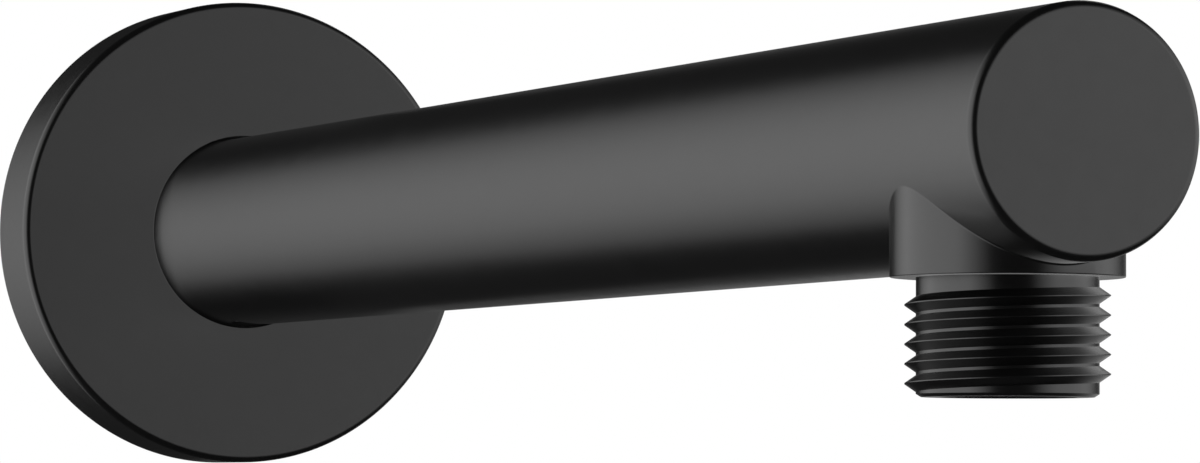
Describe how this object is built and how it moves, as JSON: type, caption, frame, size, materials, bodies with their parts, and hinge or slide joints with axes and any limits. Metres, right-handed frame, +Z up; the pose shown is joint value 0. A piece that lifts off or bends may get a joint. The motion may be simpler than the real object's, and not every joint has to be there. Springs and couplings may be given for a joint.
{
  "type": "shower arm",
  "caption": "Straight round wall-mounted shower arm with a round rosette, a closed rounded end and a male half-inch pipe thread pointing down near the end.",
  "frame": {"origin": "on the arm's axis, in the plane of the wall's face, where the rosette's rim rests", "axes": "+X along the arm away from the wall, +Z up; the outlet points to -Z"},
  "size_m": [0.272, 0.064, 0.064],
  "materials": {
    "black_coat": "satin black coat on brass",
    "bare_brass": "turned brass, uncoated",
    "screw_steel": "plain stainless steel",
    "seal_rubber": "matt black rubber"
  },
  "bodies": {
    "root": {"arm": "black_coat", "rosette": "black_coat", "wall_nipple": "bare_brass", "grub_screw": "screw_steel", "rear_spigot_ring": "seal_rubber", "front_spigot_ring": "seal_rubber", "rosette_grip_ring": "seal_rubber", "rosette_wall_seal": "seal_rubber"}
  },
  "joints": []
}
